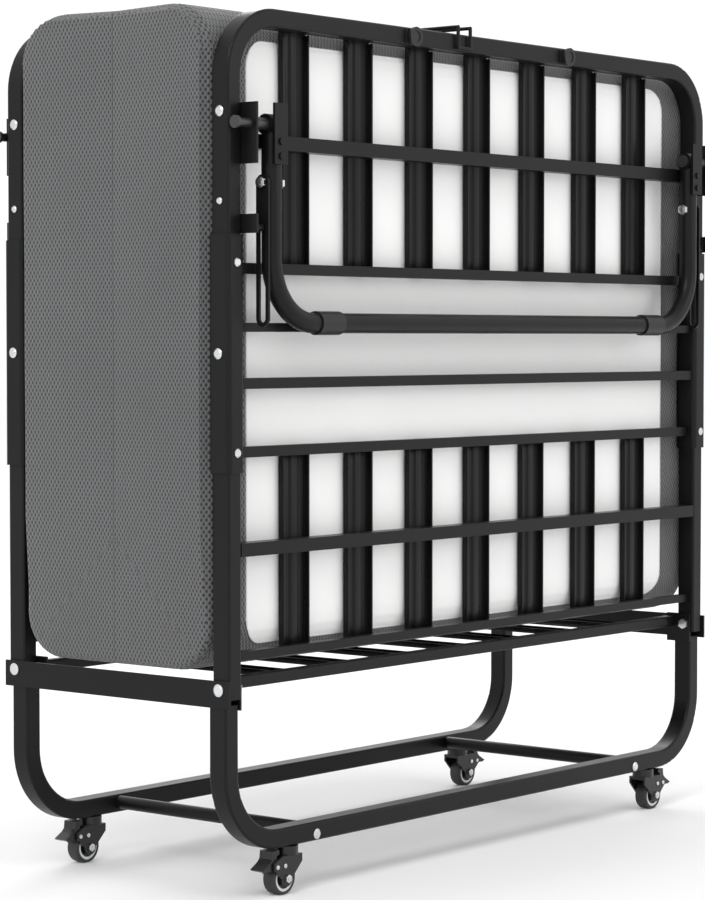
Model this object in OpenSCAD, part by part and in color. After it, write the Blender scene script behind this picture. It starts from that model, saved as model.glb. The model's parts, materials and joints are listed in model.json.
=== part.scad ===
// Rollaway folding bed, folded upright on its wheeled base.
// X is the bed's width, Y its folded depth (front at -Y), Z is up.
// The origin is the centre of the footprint, on the floor.

/* [Overall] */
// Outer width of the tube frames
frame_w = 964; // [880:1:1160]
// Outer depth of the base over its two U frames
base_depth = 336; // [300:1:400]
// Height of the folded head frame's top
frame_top = 994; // [940:1:1160]
// Height of the pivot line of the two bed halves
hinge_h = 242; // [200:1:300]

/* [Rectangular tube] */
// Tube width in the plane of the frame
tube_w = 22; // [18:1:28]
// Tube thickness through the frame
tube_t = 25; // [20:1:28]
// Tube wall
tube_wall = 1.5; // [1:0.1:2.5]
// Outer corner radius of the tube
tube_r = 3; // [1.6:0.1:4]
// Outer bend radius of the head frames
head_bend = 78; // [60:1:110]
// Outer bend radius of the base frames
base_bend = 92; // [60:1:110]
// Height of the lower edge of the base rails
rail_low = 55; // [50:1:70]

/* [Side sleeves] */
// Wall of the sleeves that join the side tubes
sleeve_wall = 3; // [2:0.1:4]
// Lower end of the sleeves
sleeve_low = 481; // [440:1:500]
// Length of the sleeves
sleeve_len = 262; // [200:1:280]

/* [Slats] */
// Number of slats in a field
slat_n = 7; // [4:1:9]
// Width of one slat
slat_w = 46; // [40:1:60]
// Distance between slat centres
slat_pitch = 115; // [90:1:118]
// Thickness of the slat plate
slat_t = 1.5; // [1:0.1:3]
// Height of the two turned edges of a slat
slat_rib = 6; // [2:0.5:10]
// Width of a turned edge
slat_lip = 2.5; // [1.5:0.5:6]

/* [Leg] */
// Outside diameter of the leg tube
leg_d = 23; // [19:1:26]
// Wall of the leg tube
leg_wall = 1.5; // [1:0.1:3]
// Distance from the leg pivot to the foot bar
leg_len = 218; // [190:1:240]
// Distance of the leg's side tubes from the middle
leg_x = 424; // [380:1:426]
// Outer bend radius of the leg tube
leg_bend = 82; // [60:1:110]
// Radius of the leg pivot pin
pivot_r = 5; // [3:0.5:6]
// Outside diameter of the foot sleeves
foot_d = 27; // [25:1:32]

/* [Mattress] */
// Height of the mattress top when folded
mattress_top = 998; // [940:1:1160]
// Lower face of the folded mattress
mattress_low = 259; // [230:1:310]
// Radius of the mattress corners at the head
mattress_r = 45; // [10:1:60]

/* [Casters] */
// Distance of the caster stems from the middle
caster_x = 366; // [300:1:380]
// Wheel diameter
wheel_d = 38; // [30:1:38]
// Wheel width
wheel_w = 17; // [12:1:20]
// Distance from the stem line back to the axle
caster_trail = 12; // [8:1:14]
// Radius of the stem
stem_r = 5; // [4:0.5:6]

/* [Fits] */
// Radial clearance of a pin in its hole
pin_fit = 0.05; // [0.02:0.01:0.1]
// Clearance between pieces that move past each other
move_gap = 0.5; // [0.4:0.1:1]

/* [Hidden] */
$fn = 48;

half_x = frame_w / 2;
// The bed halves are narrower than the base, so they pass the side rails
bed_x = half_x - move_gap;
bed_tube_w = tube_w - 2 * move_gap;
bed_in = bed_x - bed_tube_w;
// The bed halves stand proud of the base by this much on each side
bed_proud = 5;
bed_y = base_depth / 2 + bed_proud;
hinge_y = bed_y - tube_t / 2;
base_y = base_depth / 2 - tube_t / 2;
hinge_r = 4;
plate = 3;

// Side rails
rail_h = 30;
rail_z = hinge_h + 10 - rail_h;
rail_y = bed_y + 3;
// The swung corner of the half frame stays above the base leg's end
tail = 11;
base_leg_top = hinge_h - norm([tail, tube_t / 2]) - 1;

// Cross bars of one half: lower edge, height and setback from the front face.
// Their backs all lie against the ribs of the slats
bar_a = [frame_top - 156, 16, 0];
bar_b = [frame_top - 294, 12, 5];
bar_b2 = [frame_top - 358, 10, 5];
bar_c = [sleeve_low + 92, 12, 2];
bar_d = [sleeve_low + 16, 12, 9];
bar_e = [sleeve_low - 93, 15, 0];
bar_f = [hinge_h + 30, 10, 8];
bar_back = bed_y - tube_t + slat_rib;
// Slats lie against the inner face of the tubes, under the mattress
slat_y = bed_y - tube_t;

// Leg
leg_y = bed_y + leg_d / 2 + 1;
pivot_z = frame_top - 130;
mount_in = bed_in - plate;
foot_in = 310;
foot_len = 40;
leg_corner = leg_x + leg_d / 2;
// The leg turns past square until its foot reaches the floor
pivot_h = hinge_h + hinge_y - leg_y;
leg_stop = 90 + acos((pivot_h - foot_d / 2) / leg_len);
stay_pin = 64;
stud_drop = 114;
stay_reach = sqrt(pow(stay_pin, 2) + pow(stud_drop, 2)
    - 2 * stay_pin * stud_drop * cos(leg_stop));
stay_t = 3;
stay_w = 18;
stay_x = leg_corner + 1.5;

// Mattress
mattress_t = bed_y - tube_t - max(slat_t, sleeve_wall) - move_gap;
mattress_x = bed_x + 2;
wedge_top = mattress_low + mattress_t;

// Latch
wire_r = 2.2;
latch_x = -60;
latch_half = 12;
wire_z = frame_top + wire_r + 5.7;
latch_drop = 25;

// Casters
axle_r = 3;
fork_in = wheel_w / 2 + 1.5;
fork_t = 2.5;

// Rounded rectangle, a wide and b high, centred
module rounded(a, b, r) {
    square([a - 2 * r, b], center = true);
    square([a, b - 2 * r], center = true);
    for (sx = [-1, 1], sy = [-1, 1])
        translate([sx * (a / 2 - r), sy * (b / 2 - r)])
            circle(r = r);
}

// Wall of a rectangular tube, w in the plane of the frame and t through it
module tube_ring(w, t, wall = tube_wall, r = tube_r) {
    difference() {
        rounded(w, t, r);
        rounded(w - 2 * wall, t - 2 * wall, r - wall);
    }
}

// Wall of a round tube
module round_ring(d, wall) {
    difference() {
        circle(d = d);
        circle(d = d - 2 * wall);
    }
}

// Straight tube of the profile along Z
module tube_up(z0, z1) {
    translate([0, 0, z0])
        linear_extrude(z1 - z0)
            children();
}

// U of one profile, open at the top: legs at +-x, bend radius at the centre line
// The bends start at a whole hundredth, so their ends meet the straight bar's exactly
module u_tube(x, z_low, z_open, bend) {
    flat = round((x - bend) * 100) / 100;
    turn = x - flat;
    for (s = [0, 1])
        mirror([s, 0, 0]) {
            translate([x, 0, 0])
                tube_up(z_low + turn, z_open)
                    children();
            translate([flat, 0, z_low + turn])
                rotate([-90, 0, 0])
                    rotate_extrude(angle = 90, $fn = 96)
                        translate([turn, 0])
                            children();
        }
    translate([-flat, 0, z_low])
        rotate([0, 90, 0])
            linear_extrude(2 * flat)
                children();
}

// Puts the pieces of the front half, or their mirror image at the back
module half(back) {
    mirror([0, back, 0])
        children();
}

// Both sides, left and right
module both_sides() {
    for (s = [0, 1])
        mirror([s, 0, 0])
            children();
}

// Cylinder along X, from x0 to x1
module pin_x(x0, x1, r) {
    translate([x0, 0, 0])
        rotate([0, 90, 0])
            cylinder(r = r, h = x1 - x0);
}

// Cylinder along Y, from y0 to y1
module pin_y(y0, y1, r) {
    translate([0, y0, 0])
        rotate([-90, 0, 0])
            cylinder(r = r, h = y1 - y0);
}

// Round bolt head lying on a face that looks along +X
module side_head(x, r = 6, h = 2.5) {
    pin_x(x, x + h * 0.5, r);
    translate([x + h * 0.5, 0, 0])
        rotate([0, 90, 0])
            cylinder(r1 = r, r2 = r * 0.7, h = h * 0.5);
}

// Hexagonal nut on a face that looks along -X
module side_nut(x, r = 6, h = 4) {
    translate([x - h, 0, 0])
        rotate([0, 90, 0])
            cylinder(r = r, h = h, $fn = 6);
}

// Base frame with the bores of its two caster stems
module base_frame() {
    color([0.06, 0.06, 0.065])
    translate([0, -base_y, 0])
    difference() {
        u_tube(half_x - tube_w / 2, rail_low + tube_w / 2, base_leg_top, base_bend - tube_w / 2)
            tube_ring(tube_w, tube_t);
        both_sides() {
            translate([caster_x, 0, rail_low - 1])
                cylinder(r = stem_r + pin_fit, h = tube_w / 2 + 1);
        }
    }
}

module base_front() {
    half(0) base_frame();
}

module base_back() {
    half(1) base_frame();
}

cross_x = caster_x - 39;
cross_d = 16;
cross_z = rail_low + tube_w / 2 + 1;

module cross_tubes() {
    color([0.06, 0.06, 0.065])
    both_sides()
        translate([cross_x, base_depth / 2 - tube_t, cross_z])
            rotate([90, 0, 0])
                linear_extrude(base_depth - 2 * tube_t)
                    round_ring(cross_d, tube_wall);
}

module side_rails() {
    color([0.06, 0.06, 0.065])
    both_sides()
        difference() {
            translate([half_x, -rail_y, rail_z])
                cube([plate, 2 * rail_y, rail_h]);
            for (s = [-1, 1])
                translate([0, s * hinge_y, hinge_h])
                    pin_x(half_x - 1, half_x + plate + 1, hinge_r + pin_fit);
        }
}

// Plates inside the base legs: they hold the hinge bolts and the middle bars
plate_in = half_x - tube_w - plate;
corner_low = 218;
mid_y = base_y - 10;

module corner_plates() {
    color([0.06, 0.06, 0.065])
    both_sides()
        for (s = [-1, 1])
            difference() {
                translate([plate_in, s * (base_y - 4) - 18, corner_low])
                    cube([plate, 36, hinge_h + 14 - corner_low]);
                translate([0, s * hinge_y, hinge_h])
                    pin_x(plate_in - 1, plate_in + plate + 1, hinge_r + pin_fit);
            }
}

mid_bar_h = 18;
mid_bar_t = 12;
mid_bar_z = hinge_h - 4;

module mid_bars() {
    color([0.06, 0.06, 0.065])
    for (s = [-1, 1])
        translate([0, s * (base_y - 16), mid_bar_z + mid_bar_h / 2 - 2])
            rotate([90, 0, 90])
                translate([0, 0, -plate_in])
                    linear_extrude(2 * plate_in)
                        tube_ring(mid_bar_t, mid_bar_h - 4, 1.2, 2);
}

// Slats of the fixed middle, dished at their ends and hung between the bars
module mid_slats() {
    y_in = base_y - 16 - mid_bar_t / 2;
    z_top = mid_bar_z + mid_bar_h - 4;
    color([0.05, 0.05, 0.055])
    for (i = [0:slat_n - 1])
        translate([(i - (slat_n - 1) / 2) * slat_pitch, 0, 0]) {
            translate([-slat_w / 2, -y_in, z_top - 8])
                cube([slat_w, 2 * y_in, slat_t]);
            for (s = [-1, 1])
                translate([s * (slat_w - slat_lip) / 2 - slat_lip / 2, -y_in, z_top - 8 + slat_t])
                    cube([slat_lip, 2 * y_in, slat_rib / 2]);
        }
}

module hinge_bolts() {
    color([0.75, 0.76, 0.78])
    both_sides()
        for (s = [-1, 1])
            translate([0, s * hinge_y, hinge_h]) {
                pin_x(plate_in - 4, half_x + plate, hinge_r);
                side_head(half_x + plate, 7);
                side_nut(plate_in, 7);
            }
}

module base_bolts() {
    color([0.75, 0.76, 0.78])
    for (s = [0, 1])
        mirror([0, s, 0])
            both_sides()
                translate([cross_x, -base_depth / 2, cross_z - 4])
                    rotate([0, 0, -90])
                        side_head(0, 6);
}

module mattress_middle() {
    color([0.85, 0.85, 0.84])
    translate([-mattress_x + 1, 0, 0])
        rotate([90, 0, 90])
            linear_extrude(2 * mattress_x - 2)
                polygon([
                    [-mattress_t + 3, mattress_low],
                    [mattress_t - 3, mattress_low],
                    [0, wedge_top - 3]
                ]);
}

// Bore through both walls of a side tube, along X
module side_bore(y, z, r) {
    translate([0, y, z])
        pin_x(bed_in - 2, bed_x + 2, r);
}

module head_frame(back) {
    color([0.06, 0.06, 0.065])
    half(back)
        translate([0, -hinge_y, frame_top])
            rotate([180, 0, 0])
                u_tube(bed_x - bed_tube_w / 2, bed_tube_w / 2,
                    frame_top - sleeve_low - sleeve_len / 2, head_bend - bed_tube_w / 2)
                    tube_ring(bed_tube_w, tube_t);
}

module lower_tubes(back) {
    color([0.06, 0.06, 0.065])
    half(back)
        both_sides()
            difference() {
                translate([bed_x - bed_tube_w / 2, -hinge_y, 0])
                    tube_up(hinge_h - tail, sleeve_low + sleeve_len / 2)
                        tube_ring(bed_tube_w, tube_t);
                side_bore(-hinge_y, hinge_h, hinge_r + pin_fit);
            }
}

module sleeves(back) {
    color([0.05, 0.05, 0.055])
    half(back)
        both_sides()
            translate([bed_x - bed_tube_w / 2, -hinge_y, sleeve_low])
                linear_extrude(sleeve_len)
                    difference() {
                        rounded(bed_tube_w + 2 * sleeve_wall, tube_t + 2 * sleeve_wall,
                            tube_r + sleeve_wall);
                        rounded(bed_tube_w, tube_t, tube_r);
                    }
}

// One flat cross bar of the half frame, from side tube to side tube
module cross_bar(bar, x) {
    translate([-x, -bed_y + bar[2], bar[0]])
        cube([2 * x, bed_y - bar[2] - bar_back, bar[1]]);
}

module wide_bars(back) {
    color([0.05, 0.05, 0.055])
    half(back) {
        cross_bar(bar_a, mount_in);
        cross_bar(bar_e, bed_in);
    }
}

module narrow_bars(back) {
    color([0.05, 0.05, 0.055])
    half(back) {
        cross_bar(bar_b, bed_in - sleeve_wall);
        cross_bar(bar_b2, bed_in - sleeve_wall);
        cross_bar(bar_c, bed_in - sleeve_wall);
        cross_bar(bar_d, bed_in - sleeve_wall);
        cross_bar(bar_f, bed_in);
    }
}

// Field of upright slats between two heights, with edges turned out up to rib_end
module slat_field(z0, z1, rib_end) {
    for (i = [0:slat_n - 1])
        translate([(i - (slat_n - 1) / 2) * slat_pitch, -slat_y, z0]) {
            translate([-slat_w / 2, 0, 0])
                cube([slat_w, slat_t, z1 - z0]);
            for (s = [-1, 1])
                translate([s * (slat_w - slat_lip) / 2 - slat_lip / 2, -slat_rib, 0])
                    cube([slat_lip, slat_rib, rib_end - z0]);
        }
}

module upper_slats(back) {
    color([0.05, 0.05, 0.055])
    half(back)
        slat_field(bar_b[0] + bar_b[1] - 6, frame_top - tube_w / 2, frame_top - tube_w);
}

module lower_slats(back) {
    color([0.05, 0.05, 0.055])
    half(back)
        slat_field(bar_f[0] + 2, bar_d[0] + bar_d[1] - 4, bar_d[0] + bar_d[1] - 4);
}

mount_low = pivot_z - 44;
mount_h = 67;
stud_z = pivot_z - stud_drop;
lug_low = sleeve_low + sleeve_len + 1;
lug_h = stud_z + 15 - lug_low;

// Side plates that carry the leg pivot, and the lugs with the stay studs
module leg_mounts(back) {
    color([0.06, 0.06, 0.065])
    half(back)
        both_sides() {
            difference() {
                translate([mount_in, -leg_y - 10, mount_low])
                    cube([plate, leg_y + 10 - bed_y + tube_t - 4, mount_h]);
                translate([0, -leg_y, pivot_z])
                    pin_x(mount_in - 1, bed_in + 1, pivot_r + pin_fit);
            }
            translate([mount_in, -leg_y - 10, lug_low])
                cube([plate, leg_y + 10 - bed_y + tube_t - 4, lug_h]);
            translate([0, -leg_y, stud_z])
                pin_x(stay_x + stay_t + move_gap, mount_in, 4);
        }
}

module pivot_pins(back) {
    color([0.2, 0.2, 0.21])
    half(back)
        both_sides()
            translate([0, -leg_y, pivot_z]) {
                pin_x(leg_x - leg_d / 2 - 4, bed_x + 4, pivot_r);
                pin_x(leg_x - leg_d / 2 - 5, leg_x - leg_d / 2 - move_gap, pivot_r + 3);
                pin_x(leg_x + leg_d / 2 + move_gap, mount_in, pivot_r + 2);
                pin_x(bed_x, bed_x + 4, pivot_r + 2);
            }
}

module bolts(back) {
    color([0.75, 0.76, 0.78])
    half(back) {
        both_sides() {
            translate([0, -hinge_y, pivot_z + 13])
                side_head(bed_x, 6);
            translate([0, -hinge_y, pivot_z - 85])
                side_head(bed_x, 4);
            translate([0, -hinge_y, sleeve_low + sleeve_len / 2])
                side_head(bed_x + sleeve_wall, 6);
            for (z = [sleeve_low + 22, sleeve_low + sleeve_len - 31])
                translate([bed_x - bed_tube_w / 2, -bed_y - sleeve_wall, z])
                    rotate([0, 0, -90])
                        side_head(0, 5);
        }
    }
}

// Two round buffers on the top tube
module bumpers(back) {
    color([0.04, 0.04, 0.045])
    half(back)
        both_sides()
            translate([157, -bed_y, frame_top - 11]) {
                translate([-13, -1.5, -9])
                    cube([26, 1.5, 18]);
                pin_y(-4, 0, 9.5);
                translate([0, -4, 0])
                    rotate([90, 0, 0])
                        difference() {
                            cylinder(r = 11.5, h = 3);
                            translate([0, 0, 2])
                                cylinder(r = 7, h = 2);
                        }
            }
}

// Half of the mattress: round corners at the head, cut at 45 degrees at the fold
module mattress(back) {
    color([0.3, 0.3, 0.31])
    half(back)
        intersection() {
            translate([0, 0, (mattress_top + mattress_low) / 2])
                rotate([90, 0, 0])
                    linear_extrude(mattress_t)
                        rounded(2 * mattress_x, mattress_top - mattress_low, mattress_r);
            translate([-mattress_x - 1, 0, 0])
                rotate([90, 0, 90])
                    linear_extrude(2 * mattress_x + 2)
                        polygon([
                            [-mattress_t, mattress_low],
                            [-mattress_t, mattress_top + 1],
                            [-1, mattress_top + 1],
                            [-1, wedge_top]
                        ]);
        }
}

module leg_tube(back) {
    color([0.06, 0.06, 0.065])
    half(back)
        translate([0, -leg_y, 0])
            difference() {
                union() {
                    u_tube(leg_x, pivot_z - leg_len, pivot_z, leg_bend - leg_d / 2)
                        round_ring(leg_d, leg_wall);
                    both_sides()
                        translate([0, 0, pivot_z])
                            pin_x(leg_x - leg_d / 2, leg_x + leg_d / 2, leg_d / 2);
                }
                both_sides() {
                    translate([0, 0, pivot_z])
                        pin_x(leg_x - leg_d, leg_x + leg_d, pivot_r + pin_fit);
                    translate([0, 0, pivot_z - stay_pin])
                        pin_x(leg_x - leg_d, leg_x + leg_d, hinge_r + pin_fit);
                }
            }
}

// Front plates on the leg's ends, with two rivets each, and the stay bolts
module leg_plates(back) {
    color([0.07, 0.07, 0.075])
    half(back)
        both_sides() {
            translate([leg_x - 11, -leg_y - leg_d / 2 - plate, mount_low])
                cube([22, plate, mount_h]);
            for (z = [pivot_z - 19, pivot_z - 35])
                translate([leg_x, -leg_y - leg_d / 2 - plate, z])
                    pin_y(-2, 0, 4);
            translate([0, -leg_y, pivot_z - stay_pin]) {
                pin_x(leg_x - leg_d / 2, stay_x + stay_t + 1, hinge_r);
                pin_x(stay_x + stay_t + move_gap, stay_x + stay_t + 4, 6.5);
                side_nut(leg_x - leg_d / 2, 6.5);
            }
        }
}

module foot_sleeves(back) {
    color([0.03, 0.03, 0.03])
    half(back)
        both_sides()
            translate([foot_in, -leg_y, pivot_z - leg_len])
                rotate([0, 90, 0])
                    linear_extrude(foot_len)
                        round_ring(foot_d, (foot_d - leg_d) / 2);
}

// Slotted stay from the leg's bolt past the frame's stud
module stays(back) {
    color([0.07, 0.07, 0.075])
    half(back)
        both_sides()
            translate([stay_x, -leg_y, pivot_z - stay_pin])
                rotate([0, 90, 0])
                    linear_extrude(stay_t)
                        difference() {
                            union() {
                                circle(d = stay_w);
                                translate([0, -stay_w / 2])
                                    square([stay_reach, stay_w]);
                                translate([stay_reach, 0])
                                    circle(d = stay_w);
                            }
                            circle(r = hinge_r + pin_fit);
                            translate([stud_drop - stay_pin, -4.5])
                                square([stay_reach - stud_drop + stay_pin, 9]);
                            translate([stud_drop - stay_pin, 0])
                                circle(d = 9);
                            translate([stay_reach, 0])
                                circle(d = 9);
                        }
}

// Wire bail on the back frame: it lies over the gap and hooks the front tube
module latch_bail() {
    y_front = -bed_y - wire_r - 1;
    color([0.05, 0.05, 0.055]) {
        for (s = [-1, 1])
            translate([latch_x + s * latch_half, 0, 0]) {
                translate([0, 0, wire_z])
                    pin_y(y_front, hinge_y, wire_r);
                translate([0, y_front, wire_z])
                    sphere(r = wire_r);
                translate([0, y_front, wire_z - latch_drop])
                    cylinder(r = wire_r, h = latch_drop);
                translate([0, y_front, wire_z - latch_drop])
                    sphere(r = wire_r);
                translate([0, hinge_y, wire_z])
                    sphere(r = wire_r);
            }
        translate([0, hinge_y, wire_z])
            pin_x(latch_x - latch_half, latch_x + latch_half, wire_r);
        translate([0, y_front, wire_z - latch_drop])
            pin_x(latch_x - latch_half, latch_x + latch_half, wire_r);
    }
}

// Clip on the back frame's top tube that the bail turns in
module latch_clip() {
    color([0.05, 0.05, 0.055])
    difference() {
        translate([latch_x - 6, hinge_y - 5, frame_top])
            cube([12, 10, wire_z - frame_top + wire_r + 2]);
        translate([0, hinge_y, wire_z])
            pin_x(latch_x - 7, latch_x + 7, wire_r + pin_fit);
    }
}

// One caster in its own frame: stem on Z, pedal towards +X, axle along Y
module fork() {
    wheel_r = wheel_d / 2;
    color([0.04, 0.04, 0.045]) {
        translate([0, 0, 44])
            cylinder(r = stem_r, h = rail_low - 44 + 16);
        translate([0, 0, 44])
            cylinder(r = 14, h = rail_low - 44 - move_gap);
        translate([-14, -fork_in - fork_t, 41])
            cube([34, 2 * (fork_in + fork_t), 4]);
        for (s = [-1, 1])
            translate([0, s * (fork_in + fork_t / 2) + fork_t / 2, 0])
                rotate([90, 0, 0])
                    linear_extrude(fork_t) {
                        polygon([
                            [-14, 45], [20, 45], [34, 38], [34, 31],
                            [caster_trail + 9, wheel_r], [caster_trail - 9, wheel_r],
                            [-14, 36]
                        ]);
                        translate([caster_trail, wheel_r])
                            circle(r = 9);
                    }
        translate([caster_trail, 0, wheel_r]) {
            pin_y(-fork_in, fork_in, axle_r);
            for (s = [0, 1])
                mirror([0, s, 0])
                    translate([0, fork_in + fork_t, 0])
                        rotate([-90, 0, 0])
                            cylinder(r = 4.5, h = 3, $fn = 6);
        }
        translate([29, 0, 34])
            pin_y(-fork_in, fork_in, 2);
    }
}

module wheel() {
    color([0.03, 0.03, 0.03])
    translate([caster_trail, 0, wheel_d / 2])
        rotate([90, 0, 0])
            rotate_extrude($fn = 96)
                polygon([
                    [axle_r + pin_fit, -fork_in + move_gap], [7, -fork_in + move_gap],
                    [7, -wheel_w / 2 + 2], [wheel_d / 2 - 4, -wheel_w / 2],
                    [wheel_d / 2 - 1.5, -wheel_w / 2], [wheel_d / 2, -wheel_w / 2 + 2],
                    [wheel_d / 2, wheel_w / 2 - 2], [wheel_d / 2 - 1.5, wheel_w / 2],
                    [wheel_d / 2 - 4, wheel_w / 2], [7, wheel_w / 2 - 2],
                    [7, fork_in - move_gap], [axle_r + pin_fit, fork_in - move_gap]
                ]);
}

// Brake pedal with an upper and a lower step, rocking on the fork's pin
module pedal() {
    half_w = fork_in - move_gap;
    color([0.05, 0.05, 0.055])
    translate([29, half_w, 34])
        rotate([90, 0, 0])
            linear_extrude(2 * half_w)
                difference() {
                    polygon([
                        [-4, -1], [4, -4], [18, -4], [22, -2], [10, 5], [6, 9],
                        [5, 18], [-6, 19], [-7, 14], [-2, 12], [-4, 6]
                    ]);
                    circle(r = 2 + pin_fit);
                }
}

// Casters stand at the four corners: 1 and 2 at the front, 3 and 4 at the back
module at_caster(i) {
    left = i == 1 || i == 3;
    front = i == 1 || i == 2;
    translate([left ? -caster_x : caster_x, front ? -base_y : base_y, 0])
        rotate([0, 0, left ? 180 : 0])
            children();
}

base_front();
base_back();
cross_tubes();
side_rails();
corner_plates();
mid_bars();
mid_slats();
hinge_bolts();
base_bolts();
mattress_middle();
for (b = [0, 1]) {
    side = b == 0 ? "front_" : "back_";
    head_frame(b);
    lower_tubes(b);
    sleeves(b);
    wide_bars(b);
    narrow_bars(b);
    upper_slats(b);
    lower_slats(b);
    leg_mounts(b);
    pivot_pins(b);
    bolts(b);
    bumpers(b);
    mattress(b);
    leg_tube(b);
    leg_plates(b);
    foot_sleeves(b);
    stays(b);
}
latch_bail();
latch_clip();
for (i = [1:4]) {
    at_caster(i) fork();
    at_caster(i) wheel();
    at_caster(i) pedal();
}
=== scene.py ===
# %% [markdown]
# # A rollaway bed, folded upright
# The steel frame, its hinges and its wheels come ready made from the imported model. This script
# gives each of them its finish, and builds what metal drawings leave out: the upholstered
# mattress, the pressed slats, the caster wheels, and a studio to look at it all in.

# %% Load the frame
import json
import math

import bmesh
import bpy
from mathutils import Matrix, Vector, noise


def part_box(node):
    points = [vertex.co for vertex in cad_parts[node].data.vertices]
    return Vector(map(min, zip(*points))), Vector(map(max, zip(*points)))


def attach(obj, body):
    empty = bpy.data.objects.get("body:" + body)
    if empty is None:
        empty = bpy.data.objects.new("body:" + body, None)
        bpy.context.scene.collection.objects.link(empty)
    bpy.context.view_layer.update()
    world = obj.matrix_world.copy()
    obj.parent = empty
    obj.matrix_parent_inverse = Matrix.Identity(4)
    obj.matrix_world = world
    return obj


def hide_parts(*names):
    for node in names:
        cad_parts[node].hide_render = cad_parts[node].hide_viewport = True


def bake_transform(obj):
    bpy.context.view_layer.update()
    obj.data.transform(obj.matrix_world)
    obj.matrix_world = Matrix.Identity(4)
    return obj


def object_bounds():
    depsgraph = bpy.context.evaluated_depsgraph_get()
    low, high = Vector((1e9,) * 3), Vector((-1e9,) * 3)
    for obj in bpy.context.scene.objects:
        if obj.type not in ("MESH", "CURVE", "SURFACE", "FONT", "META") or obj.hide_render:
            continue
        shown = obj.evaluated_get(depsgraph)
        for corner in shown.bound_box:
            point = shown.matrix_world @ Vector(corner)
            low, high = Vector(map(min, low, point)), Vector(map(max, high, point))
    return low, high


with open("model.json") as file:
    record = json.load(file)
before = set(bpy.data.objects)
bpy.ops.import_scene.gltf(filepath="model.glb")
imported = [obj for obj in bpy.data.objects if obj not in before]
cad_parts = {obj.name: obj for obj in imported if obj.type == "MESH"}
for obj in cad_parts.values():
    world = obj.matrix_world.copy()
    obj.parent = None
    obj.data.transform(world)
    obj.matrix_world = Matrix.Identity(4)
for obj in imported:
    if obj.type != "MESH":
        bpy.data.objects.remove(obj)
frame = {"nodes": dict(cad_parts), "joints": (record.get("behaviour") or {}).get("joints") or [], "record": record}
cad_low, cad_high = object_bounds()
nodes = frame["nodes"]
print("CAD box", tuple(round(v, 3) for v in cad_low), tuple(round(v, 3) for v in cad_high))

# %% [markdown]
# ## Helpers for modelling
# Operators act on whatever is selected, so every new piece starts from nothing selected. Edges
# and faces are picked by where they lie, the way a modeller would click them.

# %% Selection helpers
MM = 0.001


def nothing_selected():
    if bpy.context.mode != "OBJECT":
        bpy.ops.object.mode_set(mode="OBJECT")
    bpy.ops.object.select_all(action="DESELECT")


def only(piece):
    nothing_selected()
    piece.select_set(True)
    bpy.context.view_layer.objects.active = piece


def new_cube(name, low, high):
    """A block between two corners, with its place in its mesh."""
    nothing_selected()
    middle = [(a + b) / 2 for a, b in zip(low, high)]
    bpy.ops.mesh.primitive_cube_add(size=1, location=middle)
    piece = bpy.context.object
    piece.name = name
    piece.scale = [b - a for a, b in zip(low, high)]
    bpy.ops.object.transform_apply(location=True, rotation=True, scale=True)
    return piece


def pick(piece, kind, test):
    """Enters edit mode with only the vertices, edges or faces chosen that pass the test."""
    only(piece)
    bpy.ops.object.mode_set(mode="EDIT")
    bpy.ops.mesh.select_mode(type={"verts": "VERT", "edges": "EDGE", "faces": "FACE"}[kind])
    bpy.ops.mesh.select_all(action="DESELECT")
    mesh = bmesh.from_edit_mesh(piece.data)
    chosen = [item for item in getattr(mesh, kind) if test(item)]
    for item in chosen:
        item.select_set(True)
    mesh.select_flush_mode()
    bmesh.update_edit_mesh(piece.data)
    return len(chosen)


def object_mode():
    bpy.ops.object.mode_set(mode="OBJECT")


def apply_modifier(piece, kind, **settings):
    only(piece)
    modifier = piece.modifiers.new(kind.title(), kind)
    for key, value in settings.items():
        setattr(modifier, key, value)
    bpy.ops.object.modifier_apply(modifier=modifier.name)


def smooth(piece, degrees=35):
    only(piece)
    bpy.ops.object.shade_smooth_by_angle(angle=math.radians(degrees))


def outward(piece):
    pick(piece, "faces", lambda f: True)
    bpy.ops.mesh.normals_make_consistent(inside=False)
    object_mode()


print("helpers ready")

# %% [markdown]
# ## Shader helpers
# Every finish on this bed has something that varies over it: the grain of the powder coat, the
# cells of the spacer mesh, a little dust. Those patterns are node groups, built once and used with
# different values. They read Object coordinates, so a pattern stays put on its piece. Only the
# mattress, which bends, needs something better.

# %% Shader helpers
def new_group(name, inputs, outputs):
    """An empty node group with named float or vector sockets."""
    group = bpy.data.node_groups.new(name, "ShaderNodeTree")
    for label, kind, value in inputs:
        socket = group.interface.new_socket(label, in_out="INPUT", socket_type="NodeSocket" + kind)
        if value is not None:
            socket.default_value = value
    for label, kind in outputs:
        group.interface.new_socket(label, in_out="OUTPUT", socket_type="NodeSocket" + kind)
    enter = group.nodes.new("NodeGroupInput")
    leave = group.nodes.new("NodeGroupOutput")
    return group, enter.outputs, leave.inputs


def math_node(tree, operation, a, b=None, clamp=False):
    node = tree.nodes.new("ShaderNodeMath")
    node.operation = operation
    node.use_clamp = clamp
    for socket, value in zip(node.inputs, (a, b)):
        if value is None:
            continue
        if isinstance(value, (int, float)):
            socket.default_value = value
        else:
            tree.links.new(value, socket)
    return node.outputs[0]


def span(tree, value, low, high, to_low=0.0, to_high=1.0):
    """Maps a value from one range to another, held at its ends."""
    node = tree.nodes.new("ShaderNodeMapRange")
    tree.links.new(value, node.inputs["Value"])
    for label, number in (("From Min", low), ("From Max", high), ("To Min", to_low), ("To Max", to_high)):
        node.inputs[label].default_value = number
    return node.outputs[0]


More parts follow.
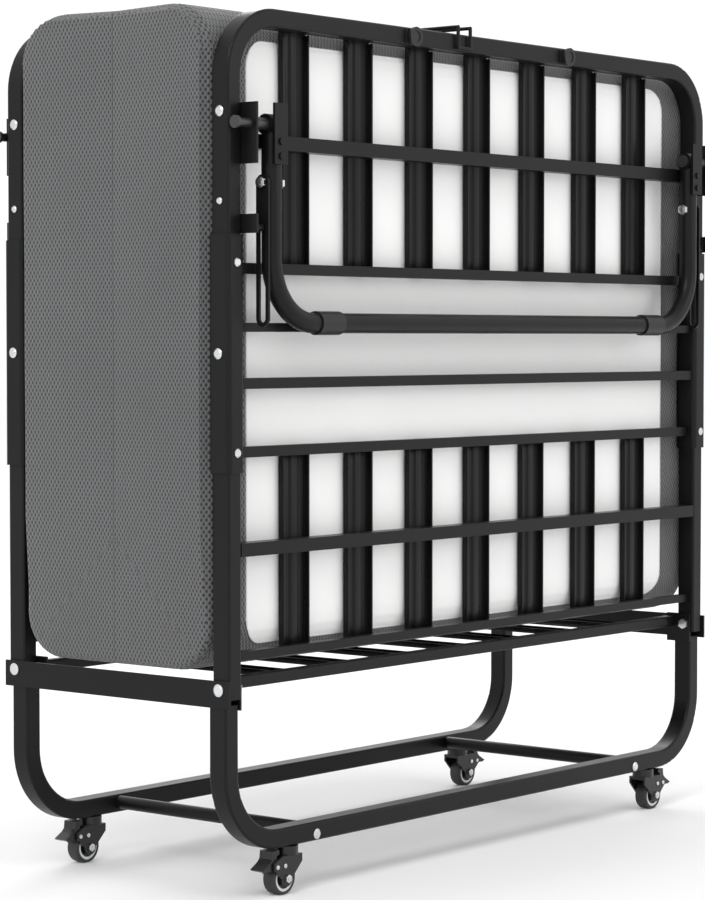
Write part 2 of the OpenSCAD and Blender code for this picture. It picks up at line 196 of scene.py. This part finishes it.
def two_tone(tree, mask, first, second):
    """Colour that goes from the first to the second as the mask goes from 0 to 1."""
    node = tree.nodes.new("ShaderNodeMix")
    node.data_type = "RGBA"
    tree.links.new(mask, node.inputs[0])
    for socket, value in ((node.inputs[6], first), (node.inputs[7], second)):
        if isinstance(value, tuple):
            socket.default_value = (*value, 1)
        else:
            tree.links.new(value, socket)
    return node.outputs[2]


def cloud(tree, place, scale, detail=3):
    node = tree.nodes.new("ShaderNodeTexNoise")
    node.inputs["Scale"].default_value = scale
    node.inputs["Detail"].default_value = detail
    tree.links.new(place, node.inputs["Vector"])
    return node.outputs[0]


def bump_from(tree, height, distance, strength=1.0, under=None):
    node = tree.nodes.new("ShaderNodeBump")
    node.inputs["Distance"].default_value = distance
    node.inputs["Strength"].default_value = strength
    tree.links.new(height, node.inputs["Height"])
    if under is not None:
        tree.links.new(under, node.inputs["Normal"])
    return node.outputs[0]


def new_material(name, **settings):
    """A Principled material with its constants on the shader's own sockets."""
    material = bpy.data.materials.new(name)
    material.use_nodes = True
    tree = material.node_tree
    shader = tree.nodes["Principled BSDF"]
    for label, value in settings.items():
        shader.inputs[label.replace("_", " ")].default_value = value
    place = tree.nodes.new("ShaderNodeTexCoord").outputs["Object"]
    return material, tree, shader, place


print("shader helpers ready")

# %% [markdown]
# ## Grain group
# Powder coat, moulded plastic and zinc all have a fine skin texture and a faint blotchiness, at
# different scales. One group gives both as values: the fine grain to bump with, and a slow
# variation for roughness and colour.

# %% Grain group
grain, given, made = new_group(
    "skin grain",
    [("Place", "Vector", None), ("Grain per metre", "Float", 900.0), ("Blotch per metre", "Float", 9.0)],
    [("Grain", "Float"), ("Blotch", "Float"), ("Dust", "Float")],
)
fine = grain.nodes.new("ShaderNodeTexNoise")
fine.inputs["Detail"].default_value = 2
grain.links.new(given["Place"], fine.inputs["Vector"])
grain.links.new(given["Grain per metre"], fine.inputs["Scale"])
grain.links.new(fine.outputs[0], made["Grain"])
slow = grain.nodes.new("ShaderNodeTexNoise")
slow.inputs["Detail"].default_value = 4
grain.links.new(given["Place"], slow.inputs["Vector"])
grain.links.new(given["Blotch per metre"], slow.inputs["Scale"])
grain.links.new(slow.outputs[0], made["Blotch"])
facing = grain.nodes.new("ShaderNodeNewGeometry")
parts = grain.nodes.new("ShaderNodeSeparateXYZ")
grain.links.new(facing.outputs["Normal"], parts.inputs[0])
upward = span(grain, parts.outputs["Z"], 0.5, 1.0)
settled = span(grain, slow.outputs[0], 0.35, 0.7)
grain.links.new(math_node(grain, "MULTIPLY", upward, settled), made["Dust"])
print("skin grain group")

# %% [markdown]
# The finishes of the hard pieces differ in only a few values: how dark they are, how rough, and
# whether they are metal. One function makes them all from the grain group. The powder coat is a
# very dark grey and not pure black, because a pure black shows no shape in soft light.

# %% Coated and moulded finishes
def skin_material(name, dark, light, rough, grain_scale, bump_mm, **settings):
    """A solid finish whose colour and roughness drift a little, over a fine grain."""
    material, tree, shader, place = new_material(name, **settings)
    group = tree.nodes.new("ShaderNodeGroup")
    group.node_tree = grain
    group.inputs["Grain per metre"].default_value = grain_scale
    tree.links.new(place, group.inputs["Place"])
    base = two_tone(tree, group.outputs["Blotch"], dark, light)
    dust = math_node(tree, "MULTIPLY", group.outputs["Dust"], 0.12)
    dusty = two_tone(tree, dust, base, (0.32, 0.31, 0.29))
    tree.links.new(dusty, shader.inputs["Base Color"])
    tree.links.new(span(tree, group.outputs["Blotch"], 0.3, 0.7, rough - 0.05, rough + 0.06),
                   shader.inputs["Roughness"])
    tree.links.new(bump_from(tree, group.outputs["Grain"], bump_mm * MM), shader.inputs["Normal"])
    return material


powder_black = skin_material("satin black powder coat", (0.0045, 0.0045, 0.005), (0.008, 0.008, 0.0085),
                             0.34, 1100.0, 0.10, Specular_IOR_Level=0.17)
slat_black = skin_material("pressed slat black", (0.004, 0.004, 0.0045), (0.007, 0.007, 0.0075),
                           0.30, 700.0, 0.08, Specular_IOR_Level=0.17)
zinc = skin_material("zinc plated steel", (0.55, 0.56, 0.58), (0.74, 0.75, 0.77),
                     0.28, 1500.0, 0.04, Metallic=1.0)
dark_steel = skin_material("blackened steel", (0.05, 0.05, 0.052), (0.09, 0.09, 0.095),
                           0.38, 1300.0, 0.05, Metallic=0.8)
buffer_black = skin_material("moulded black plastic", (0.009, 0.009, 0.010), (0.014, 0.014, 0.015),
                             0.42, 500.0, 0.12, Specular_IOR_Level=0.3)
caster_black = skin_material("glossy caster plastic", (0.008, 0.008, 0.009), (0.012, 0.012, 0.013),
                             0.26, 600.0, 0.05, Specular_IOR_Level=0.4)
tyre_black = skin_material("tyre rubber", (0.012, 0.012, 0.012), (0.022, 0.022, 0.022), 0.5, 400.0, 0.1)
ring_grey = skin_material("light wheel ring", (0.55, 0.56, 0.57), (0.68, 0.69, 0.70), 0.35, 600.0, 0.03)
print("coated and moulded finishes")

# %% [markdown]
# ## Finishes for the steel
# The frame is one satin powder coat all over. The fasteners are bright zinc, which is what makes
# them read as small white dots against the black.

# %% Give the CAD pieces their finishes
FINISH_OF_SLOT = {
    "black_steel": powder_black,
    "dark_steel": dark_steel,
    "bolt_steel": zinc,
    "black_plastic": buffer_black,
    "caster_plastic": caster_black,
    "tyre": tyre_black,
    "mattress": powder_black,
}


def give(piece, material):
    piece.data.materials.clear()
    piece.data.materials.append(material)


for row in frame["record"]["subparts"]:
    give(nodes[row["node"]], FINISH_OF_SLOT[row["material_slot"]])
print(len(nodes), "CAD pieces finished")

# %% [markdown]
# ## Spacer mesh and white cover
# The sides of the mattress are a grey spacer mesh: a knitted fabric with rows of small round
# cells, each row shifted by half a cell. The underside is a plain white cloth, let into the mesh
# with rounded corners, and the sleeping side is the same cloth nearly to its edges. Both cloths
# share one material, because the border between them is a line on one surface, and a distance to a
# rounded rectangle draws it more truly than cutting faces could.

# %% Mesh cell group
cells, given, made = new_group(
    "spacer mesh cells",
    [("Cloth", "Vector", None), ("Cell", "Float", 0.0042)],
    [("Cell mask", "Float"), ("Thread", "Float")],
)
scaled = cells.nodes.new("ShaderNodeVectorMath")
scaled.operation = "SCALE"
cells.links.new(given["Cloth"], scaled.inputs[0])
cells.links.new(math_node(cells, "DIVIDE", 2 * math.pi, given["Cell"]), scaled.inputs["Scale"])
split = cells.nodes.new("ShaderNodeSeparateXYZ")
cells.links.new(scaled.outputs[0], split.inputs[0])
across = math_node(cells, "COSINE", split.outputs["X"])
along = math_node(cells, "COSINE", math_node(cells, "MULTIPLY", split.outputs["Y"], 0.64))
pattern = math_node(cells, "MULTIPLY", across, along)
cells.links.new(span(cells, pattern, 0.05, 0.55), made["Cell mask"])
cells.links.new(span(cells, pattern, -1.0, 1.0), made["Thread"])
print("spacer mesh group")

# %% [markdown]
# The white panel's outline is a rounded rectangle in X and Z, found with the usual distance
# formula: fold the point into one quarter, take the overshoot past the inner corner, and measure
# its length. The same distance gives the stitched seam round it. The places are read from a stored
# attribute and not from the object's own coordinates, because the mattress bends: a pattern in
# space would slide over the cloth as the bed opens. The two millimetres that stretch across the
# fold are left plain, in the cells' mean tone, so that no cell is drawn out into a streak.

# %% Mattress material
mat_low, mat_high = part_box("front_mattress")
half_wide = mat_high.x
outer_y = -mat_low.y
top_z, low_z = mat_high.z, mat_low.z
SIDE_BORDER, HEAD_BORDER, FOLD_BORDER, PANEL_CORNER = 62 * MM, 37 * MM, 26 * MM, 32 * MM
TOP_BORDER = 10 * MM
FOLD_HALF = 1 * MM

mattress_cloth, tree, shader = new_material(
    "mesh sided white cover", Sheen_Weight=0.25, Sheen_Roughness=0.5)[:3]
sewn_place = tree.nodes.new("ShaderNodeAttribute")
sewn_place.attribute_name = "sewn_place"
place = sewn_place.outputs["Vector"]
xyz = tree.nodes.new("ShaderNodeSeparateXYZ")
tree.links.new(place, xyz.inputs[0])
centre_z = (top_z - HEAD_BORDER + low_z + FOLD_BORDER) / 2
panel_x = half_wide - SIDE_BORDER - PANEL_CORNER
panel_z = (top_z - HEAD_BORDER - low_z - FOLD_BORDER) / 2 - PANEL_CORNER
past_x = math_node(tree, "MAXIMUM", math_node(
    tree, "SUBTRACT", math_node(tree, "ABSOLUTE", xyz.outputs["X"]), panel_x), 0.0)
from_middle = math_node(tree, "ABSOLUTE", math_node(tree, "SUBTRACT", xyz.outputs["Z"], centre_z))
past_z = math_node(tree, "MAXIMUM", math_node(tree, "SUBTRACT", from_middle, panel_z), 0.0)
past = math_node(tree, "SQRT", math_node(
    tree, "ADD", math_node(tree, "POWER", past_x, 2.0), math_node(tree, "POWER", past_z, 2.0)))
depth = math_node(tree, "ABSOLUTE", xyz.outputs["Y"])
on_face = math_node(tree, "GREATER_THAN", depth, outer_y - 9 * MM)
inside = span(tree, past, PANEL_CORNER - 0.6 * MM, PANEL_CORNER + 0.6 * MM, 1.0, 0.0)
underside = math_node(tree, "MULTIPLY", inside, on_face)
in_width = math_node(
    tree, "LESS_THAN", math_node(tree, "ABSOLUTE", xyz.outputs["X"]), half_wide - TOP_BORDER)
in_length = math_node(tree, "LESS_THAN", xyz.outputs["Z"], top_z - TOP_BORDER)
on_top = math_node(tree, "LESS_THAN", depth, 2 * MM)
sleeping_side = math_node(tree, "MULTIPLY", math_node(tree, "MULTIPLY", in_width, in_length), on_top)
white_here = math_node(tree, "MAXIMUM", underside, sleeping_side)
slant_height = math_node(tree, "ADD", depth, math_node(tree, "SUBTRACT", xyz.outputs["Z"], low_z))
off_fold = math_node(tree, "ABSOLUTE", math_node(tree, "SUBTRACT", slant_height, outer_y))
plain_at_fold = span(tree, off_fold, 1.45 * FOLD_HALF, 1.45 * FOLD_HALF + 0.3 * MM)

cloth_map = tree.nodes.new("ShaderNodeUVMap")
cloth_map.uv_map = "cloth"
mesh_group = tree.nodes.new("ShaderNodeGroup")
mesh_group.node_tree = cells
mesh_group.inputs["Cell"].default_value = 5.6 * MM
tree.links.new(cloth_map.outputs[0], mesh_group.inputs["Cloth"])
shade = cloud(tree, place, 7.0, 4)
thread_grey = two_tone(tree, shade, (0.080, 0.082, 0.084), (0.115, 0.117, 0.120))
cell_mask = math_node(
    tree, "ADD", math_node(tree, "MULTIPLY", mesh_group.outputs["Cell mask"], plain_at_fold),
    math_node(tree, "MULTIPLY", math_node(tree, "SUBTRACT", 1.0, plain_at_fold), 0.3))
mesh_grey = two_tone(tree, cell_mask, thread_grey, (0.012, 0.012, 0.013))
white_cloth = two_tone(tree, shade, (0.78, 0.78, 0.775), (0.86, 0.86, 0.855))
seam = span(tree, math_node(tree, "ABSOLUTE", math_node(tree, "SUBTRACT", past, PANEL_CORNER)),
            0.0, 2.2 * MM, 0.0, 1.0)
tree.links.new(two_tone(tree, white_here, mesh_grey, white_cloth), shader.inputs["Base Color"])
tree.links.new(span(tree, white_here, 0.0, 1.0, 0.72, 0.88), shader.inputs["Roughness"])
wrinkle = cloud(tree, place, 16.0, 3)
soft = bump_from(tree, wrinkle, 5 * MM, 0.35)
sewn = bump_from(tree, seam, 2 * MM, 0.8, under=soft)
mesh_height = math_node(tree, "MULTIPLY", mesh_group.outputs["Thread"], math_node(
    tree, "MULTIPLY", plain_at_fold, math_node(tree, "SUBTRACT", 1.0, white_here)))
knitted = bump_from(tree, mesh_height, -1.2 * MM, 0.9, under=sewn)
tree.links.new(knitted, shader.inputs["Normal"])
print("mattress cloth")

# %% [markdown]
# ## The mattress
# One foam mattress is folded double, so each half is a thick slab with round corners at the head
# and at the fold. It could be a single mesh, but a fold that opens needs its cloth gathered along
# a slanting line, so it is two slabs, each of which reaches from the head to the middle of the
# fold. Each slab is cut twice along that slanting line, two millimetres apart, across its fold.

# %% Model one slab
CORNER_ROUND, EDGE_ROUND = 52 * MM, 11 * MM
CROSS_STEP = 47.5 * MM


def cut(piece, point, normal):
    """Adds an edge loop where a plane passes through the whole piece."""
    pick(piece, "faces", lambda f: True)
    bpy.ops.mesh.bisect(plane_co=point, plane_no=normal)
    object_mode()


def cloth_coordinates(piece, name="cloth"):
    """Lays each face flat in metres, so that a weave keeps its size on every side."""
    layer = piece.data.uv_layers.new(name=name)
    piece.data.uv_layers.active = layer
    for face in piece.data.polygons:
        n = face.normal
        main = max(range(3), key=lambda k: abs(n[k]))
        u, v = [k for k in range(3) if k != main]
        for loop in face.loop_indices:
            place_at = piece.data.vertices[piece.data.loops[loop].vertex_index].co
            layer.data[loop].uv = (place_at[u], place_at[v])


def keep_sewn_place(piece):
    """Stores where each point lies while the bed is folded, for the pattern to follow."""
    layer = piece.data.attributes.new("sewn_place", "FLOAT_VECTOR", "POINT")
    for v in piece.data.vertices:
        layer.data[v.index].vector = v.co


def mattress_slab(name, side):
    """side is -1 for the front slab and 1 for the back one."""
    outer, inner = side * outer_y, side * 0.3 * MM
    slab = new_cube(name, (-half_wide, min(outer, inner), low_z), (half_wide, max(outer, inner), top_z))
    pick(slab, "edges", lambda e: all(abs(v.co.y - outer) < MM for v in e.verts)
         and abs(e.verts[0].co.x - e.verts[1].co.x) > 0.1)
    bpy.ops.mesh.bevel(offset=CORNER_ROUND, segments=8, affect="EDGES")
    object_mode()
    pick(slab, "edges", lambda e: all(abs(abs(v.co.x) - half_wide) < MM for v in e.verts)
         and any(abs(v.co.y - inner) > 2 * MM for v in e.verts))
    bpy.ops.mesh.bevel(offset=EDGE_ROUND, segments=5, affect="EDGES")
    object_mode()
    corner = Vector((0, side * outer_y, low_z))
    slant = Vector((0, side * math.sqrt(0.5), math.sqrt(0.5)))
    middle = corner + Vector((0, -side, 1)) * outer_y / 2
    for shift in (-FOLD_HALF, FOLD_HALF):
        cut(slab, middle + slant * shift, slant)
    steps = int(half_wide / CROSS_STEP)
    for i in range(-steps, steps + 1):
        cut(slab, (i * CROSS_STEP, 0, 0), (1, 0, 0))
    height = low_z + outer_y + 20 * MM
    while height < top_z - CORNER_ROUND:
        cut(slab, (0, 0, height), (0, 0, 1))
        height += CROSS_STEP
    return slab, middle, slant


def swell(slab, side):
    """Crowns the free faces and lets the cloth lie a little unevenly."""
    for v in slab.data.vertices:
        x, y, z = v.co
        if abs(y) < 8 * MM or (z - low_z) < outer_y * 1.1:
            continue
        uneven = noise.noise(Vector((x * 9, y * 9, z * 9)))
        if abs(y) > outer_y - 2 * MM:
            v.co.y += side * (0.2 + 0.6 * uneven) * MM
        if abs(x) > half_wide - 2 * MM:
            v.co.x += math.copysign((6.5 + 1.0 * uneven) * MM, x)
        if z > top_z - CORNER_ROUND:
            crown = 1 - min(abs(y) / outer_y, 1) ** 2
            v.co.z += ((9 * crown - 4) * (z - top_z + CORNER_ROUND) / CORNER_ROUND + 0.6 * uneven) * MM


for side, word in ((-1, "front"), (1, "back")):
    slab, fold_middle, fold_slant = mattress_slab(word + "_mattress_slab", side)
    swell(slab, side)
    outward(slab)
    cloth_coordinates(slab)
    keep_sewn_place(slab)
    give(slab, mattress_cloth)
    smooth(slab, 40)
    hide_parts(word + "_mattress", *(["mattress_middle"] if side < 0 else []))
    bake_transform(slab)
    print(slab.name, len(slab.data.polygons), "faces")

# %% [markdown]
# ## Pressed slats
# A slat is a strip of sheet steel whose two long edges are turned out and whose middle is pressed
# into a low ridge, which stiffens it. The strip starts as a flat block, with cuts where it folds.
# The edge bands are pushed out to the height of the turned edges, the middle one a little, and an
# array repeats the slat across the bed.

# %% Model a field of slats
SLAT_WIDTH, LIP, RIDGE_HALF, SHEET = 46 * MM, 2.5 * MM, 8 * MM, 1.5 * MM
SLAT_PITCH, RIDGE_RISE, HEAD_TRIM = 115 * MM, 2.4 * MM, 11 * MM


def push_band(slat, rise, low_x, high_x, height, taper=1.0):
    """Pushes out the part of the slat's face between two widths."""
    pick(slat, "faces", lambda f: f.normal.dot(Vector(rise)) > 0.9
         and low_x < f.calc_center_median().x < high_x)
    bpy.ops.mesh.extrude_region_move(TRANSFORM_OT_translate={"value": [height * r for r in rise]})
    if taper < 1:
        bpy.ops.transform.resize(value=(taper, 1, 1), center_override=((low_x + high_x) / 2, 0, 0))
    object_mode()


def pressed_slats(node_name, name, body, long_axis, rise, trim=0.0):
    """long_axis is 1 or 2, the axis the slats run along; rise is where their edges point."""
    low, high = (list(corner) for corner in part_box(node_name))
    count = 1 + round((high[0] - low[0] - SLAT_WIDTH) / SLAT_PITCH)
    pitch = (high[0] - low[0] - SLAT_WIDTH) / (count - 1)
    out_axis = 3 - long_axis
    height = high[out_axis] - low[out_axis] - SHEET
    plate_low, plate_high = list(low), list(high)
    plate_high[0] = plate_low[0] + SLAT_WIDTH
    if rise[out_axis] < 0:
        plate_low[out_axis] = plate_high[out_axis] - SHEET
    else:
        plate_high[out_axis] = plate_low[out_axis] + SHEET
    slat = new_cube(name, plate_low, plate_high)
    left, right = plate_low[0], plate_high[0]
    centre = (left + right) / 2
    for at in (left + LIP, centre - RIDGE_HALF, centre + RIDGE_HALF, right - LIP):
        cut(slat, (at, 0, 0), (1, 0, 0))
    if trim:
        cut(slat, (0, 0, high[2] - trim), (0, 0, 1))
    tall = high[2] - trim if trim else 1.0
    for band in ((left, left + LIP), (right - LIP, right)):
        pick(slat, "faces", lambda f: f.normal.dot(Vector(rise)) > 0.9
             and band[0] < f.calc_center_median().x < band[1] and f.calc_center_median().z < tall)
        bpy.ops.mesh.extrude_region_move(TRANSFORM_OT_translate={"value": [height * r for r in rise]})
        object_mode()
    push_band(slat, rise, centre - RIDGE_HALF, centre + RIDGE_HALF, RIDGE_RISE, 0.62)
    apply_modifier(slat, "BEVEL", width=0.5 * MM, segments=2, limit_method="ANGLE")
    only(slat)
    row = slat.modifiers.new("Row", "ARRAY")
    row.count = count
    row.use_relative_offset = False
    row.use_constant_offset = True
    row.constant_offset_displace = (pitch, 0, 0)
    bpy.ops.object.modifier_apply(modifier="Row")
    outward(slat)
    give(slat, slat_black)
    smooth(slat, 30)
    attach(slat, body)
    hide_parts(node_name)
    return slat


for word, out in (("front", -1), ("back", 1)):
    for field in ("upper", "lower"):
        pressed_slats(f"{word}_{field}_slats", f"{word}_{field}_slats_pressed", word + "_half", 2,
                      (0, out, 0), HEAD_TRIM if field == "upper" else 0.0)
pressed_slats("mid_slats", "mid_slats_pressed", "cart", 1, (0, 0, 1))
print("slat fields pressed")

# %% [markdown]
# ## Caster wheels
# Each wheel is a black tyre on a moulded centre, with a light ring set into its side and a bright
# bolt through the middle. One cylinder makes it: its rims are bevelled for the tyre's shoulders,
# then its sides are inset again and again, and the insets pushed in or out for ring and hub.

# %% Model one caster wheel
TYRE_SHOULDER, RING_DEPTH, WHEEL_WIDTH = 2.0 * MM, 1.2 * MM, 17 * MM


def turned(piece, direction, centre):
    """Turns a piece modelled along Z so that it points along a direction, and puts it in place."""
    only(piece)
    piece.rotation_euler = direction.to_track_quat("Z", "Y").to_euler()
    piece.location = centre
    bpy.ops.object.transform_apply(location=True, rotation=True, scale=True)


def drum(name, radius, depth, sides):
    nothing_selected()
    bpy.ops.mesh.primitive_cylinder_add(vertices=sides, radius=radius, depth=depth, location=(0, 0, 0))
    piece = bpy.context.object
    piece.name = name
    return piece


def stepped_ends(piece, steps):
    """Insets both ends again and again, and pushes each new end in or out."""
    for inset, push in steps:
        for sign in (-1, 1):
            pick(piece, "faces", lambda f: f.normal.z * sign > 0.9 and len(f.verts) > 5)
            if inset:
                bpy.ops.mesh.inset(thickness=inset, depth=0)
            if push:
                bpy.ops.mesh.extrude_region_move(TRANSFORM_OT_translate={"value": (0, 0, sign * push)})
            object_mode()


def caster_wheel(i):
    joint = next(j for j in frame["joints"] if j["name"] == f"wheel_roll_{i}")
    centre, axle = Vector(joint["pos_m"]), Vector(joint["axis"])
    radius = centre.z
    wheel = drum(f"caster_wheel_{i}_turned", radius, WHEEL_WIDTH, 64)
    pick(wheel, "edges", lambda e: all(math.hypot(v.co.x, v.co.y) > radius - MM for v in e.verts)
         and abs(e.verts[0].co.z - e.verts[1].co.z) < MM)
    bpy.ops.mesh.bevel(offset=TYRE_SHOULDER, segments=4, affect="EDGES")
    object_mode()
    stepped_ends(wheel, ((1.6 * MM, -RING_DEPTH), (0.3 * MM, 0.5 * MM), (3.0 * MM, -0.9 * MM),
                         (0.5 * MM, -0.6 * MM), (4.2 * MM, 2.6 * MM)))
    for finish in (tyre_black, ring_grey, caster_black):
        wheel.data.materials.append(finish)
    for face in wheel.data.polygons:
        out = math.hypot(face.center.x, face.center.y)
        flat = abs(face.normal.z) > 0.9
        in_tyre, in_ring = out > radius - 3.5 * MM, out > radius - 7 * MM and flat
        face.material_index = 0 if in_tyre else 1 if in_ring else 2
    outward(wheel)
    turned(wheel, axle, centre)
    smooth(wheel, 30)
    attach(wheel, f"wheel_{i}")
    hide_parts(f"caster_wheel_{i}")
    return centre, axle


def hex_bolt(name, centre, direction, radius, height, body, sides=6):
    bolt = drum(name, radius, height, sides)
    pick(bolt, "edges", lambda e: all(v.co.z > 0 for v in e.verts))
    bpy.ops.mesh.bevel(offset=height * 0.18, segments=2, affect="EDGES")
    object_mode()
    pick(bolt, "faces", lambda f: f.normal.z > 0.99 and f.calc_area() > radius * radius)
    bpy.ops.mesh.inset(thickness=radius * 0.35, depth=0)
    bpy.ops.mesh.extrude_region_move(TRANSFORM_OT_translate={"value": (0, 0, height * 0.2)})
    object_mode()
    outward(bolt)
    turned(bolt, direction, centre + direction * height / 2)
    give(bolt, zinc)
    smooth(bolt, 25)
    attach(bolt, body)


for i in range(1, 5):
    hub, axle = caster_wheel(i)
    for sign, word in ((-1, "a"), (1, "b")):
        out = axle * sign
        hex_bolt(f"caster_axle_bolt_{i}_{word}", hub + out * 12.6 * MM, out, 5.0 * MM, 3.4 * MM,
                 f"caster_{i}")
    for sign, word in ((-1, "a"), (1, "b")):
        out = axle * sign
        ahead = Vector((math.copysign(1, hub.x), 0, 0))
        for at, label in ((17, "pedal"), (4, "spring")):
            rivet = hub + ahead * at * MM + Vector((0, 0, 15 * MM)) + out * 12.5 * MM
            hex_bolt(f"caster_{label}_rivet_{i}_{word}", rivet, out, 2.6 * MM, 1.2 * MM,
                     f"caster_{i}", 16)
print("casters built")

# %% [markdown]
# ## Stay bolts
# Each stay hangs on a bolt through the leg tube. The bolt's head and nut are bright zinc, which
# the black leg plates they are part of are not, so both get a zinc cap.

# %% Cap the stay bolts
for word in ("front", "back"):
    swing = next(j for j in frame["joints"] if j["name"] == f"{word}_stay_swing")
    bolt_at = Vector(swing["pos_m"])
    stay_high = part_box(f"{word}_stays")[1]
    leg_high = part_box(f"{word}_leg_tube")[1]
    for side in (-1, 1):
        out = Vector((side, 0, 0))
        head = Vector((side * (stay_high.x + 0.6 * MM), bolt_at.y, bolt_at.z))
        nut = Vector((side * (leg_high.x - 23.2 * MM), bolt_at.y, bolt_at.z))
        tag = "left" if side < 0 else "right"
        hex_bolt(f"{word}_stay_bolt_head_{tag}", head, out, 6.9 * MM, 3.7 * MM, f"{word}_leg")
        hex_bolt(f"{word}_stay_bolt_nut_{tag}", nut, -out, 6.9 * MM, 4.2 * MM, f"{word}_leg")
print("stay bolts capped")

# %% [markdown]
# ## Stage
# A pale floor that fades into a pale room. The floor has a faint cloudiness, because one flat
# colour looks like paper, and the room's own light does most of the work.

# %% Floor and room
nothing_selected()
bpy.ops.mesh.primitive_plane_add(size=40, location=(0, 0, 0))
floor = bpy.context.object
floor.name = "studio_floor"
floor_paint, tree, shader, place = new_material("pale studio floor", Roughness=0.9)
tree.links.new(two_tone(tree, cloud(tree, place, 0.6), (0.93, 0.93, 0.93), (0.96, 0.96, 0.96)),
               shader.inputs["Base Color"])
give(floor, floor_paint)

world = bpy.data.worlds.new("white room")
bpy.context.scene.world = world
world.use_nodes = True
world.node_tree.nodes["Background"].inputs["Color"].default_value = (1, 1, 1, 1)
world.node_tree.nodes["Background"].inputs["Strength"].default_value = 1.05
print("floor and room")

# %% [markdown]
# ## Lights
# Three broad discs: the strongest on the upper left, a weaker one in front, and one from behind on
# the right. A small lamp would throw a hard shadow, and a disc draws a soft line down each black
# tube, which is what shows that it is round or square.

# %% Lights
def soft_light(name, place_at, target, size, watts):
    data = bpy.data.lights.new(name, "AREA")
    data.shape = "DISK"
    data.size = size
    data.energy = watts
    lamp = bpy.data.objects.new(name, data)
    bpy.context.scene.collection.objects.link(lamp)
    lamp.location = place_at
    lamp.rotation_euler = (Vector(target) - Vector(place_at)).to_track_quat("-Z", "Y").to_euler()


bed_middle = (cad_low + cad_high) / 2
soft_light("key", (-3.2, -1.2, 3.0), bed_middle, 1.6, 42)
soft_light("fill", (1.6, -3.6, 1.8), bed_middle, 2.0, 22)
soft_light("rim", (2.6, 2.4, 2.6), bed_middle, 1.6, 28)
print("three soft lights")

# %% [markdown]
# ## Camera
# The camera stands a little above the middle of the bed, off its left front corner, so the end of
# the mattress and the slats both show. A long lens from further back keeps upright tubes nearly
# parallel, where a short one would lean them together.

# %% Camera
camera_data = bpy.data.cameras.new("studio camera")
camera = bpy.data.objects.new("studio camera", camera_data)
bpy.context.scene.collection.objects.link(camera)
camera.location = (-2.780, -2.229, 0.629)
camera.rotation_euler = (math.radians(87.73), 0, math.radians(-50.70))
camera_data.lens = 112.8
bpy.context.scene.camera = camera
bpy.context.scene.view_settings.view_transform = "Standard"
print("camera set")
